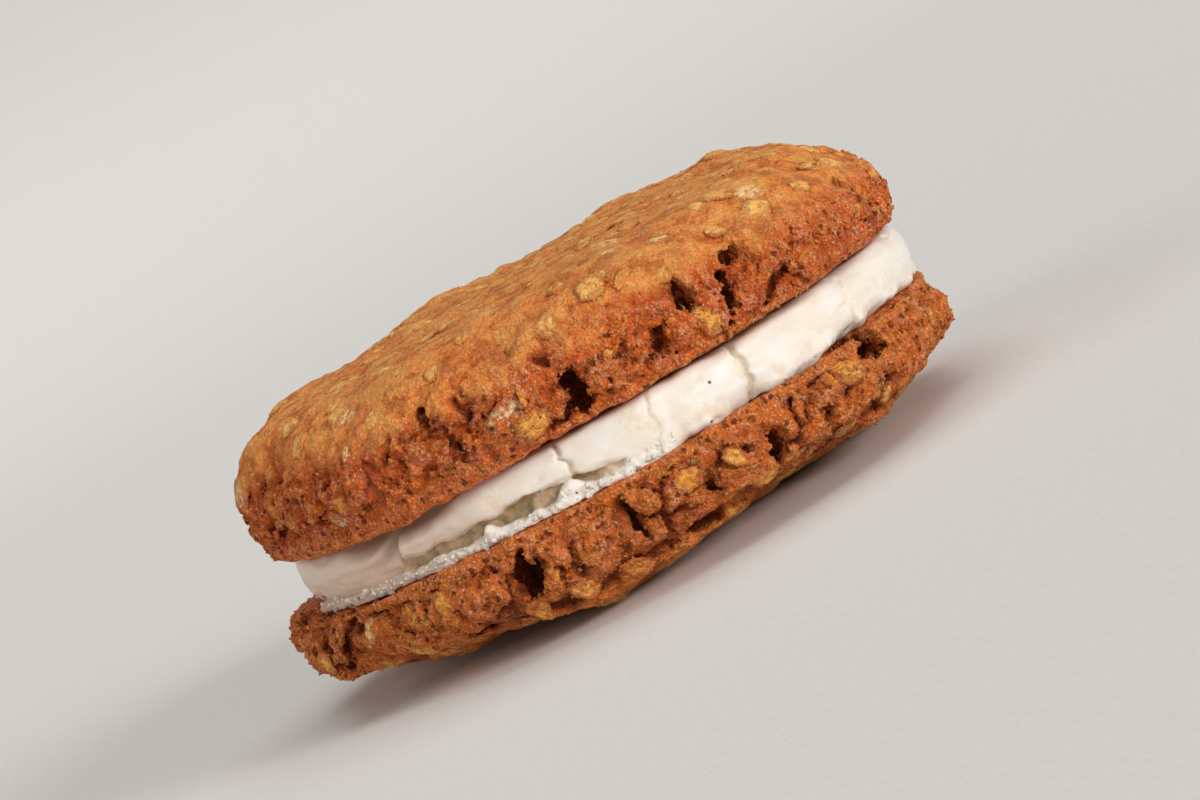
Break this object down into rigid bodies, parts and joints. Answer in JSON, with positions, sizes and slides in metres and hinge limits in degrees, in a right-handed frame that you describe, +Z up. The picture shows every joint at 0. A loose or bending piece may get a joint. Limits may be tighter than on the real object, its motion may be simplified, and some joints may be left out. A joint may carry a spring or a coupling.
{
  "type": "oatmeal cream pie",
  "caption": "Soft oat sandwich biscuit: craggy oat cookies with flat faces inwards round a disc of stiff white buttercream.",
  "frame": {"origin": "under the middle of the pie's box, on the pressed flat spot of the lower cookie that it rests on", "axes": "+Z up through both cookies, shortest way across the pie; -Y is the side seen in the picture, +X to its right"},
  "size_m": [0.0914, 0.0926, 0.0376],
  "materials": {
    "upper_crust": "soft baked oat dough, golden brown, rough and faintly moist",
    "lower_crust": "soft baked oat dough, deeper brown, rough and faintly moist",
    "buttercream": "stiff buttercream, satin, hairline cracks"
  },
  "bodies": {
    "root": {"lower_cookie": "lower_crust", "cream_filling": "buttercream", "upper_cookie": "upper_crust"}
  },
  "joints": []
}
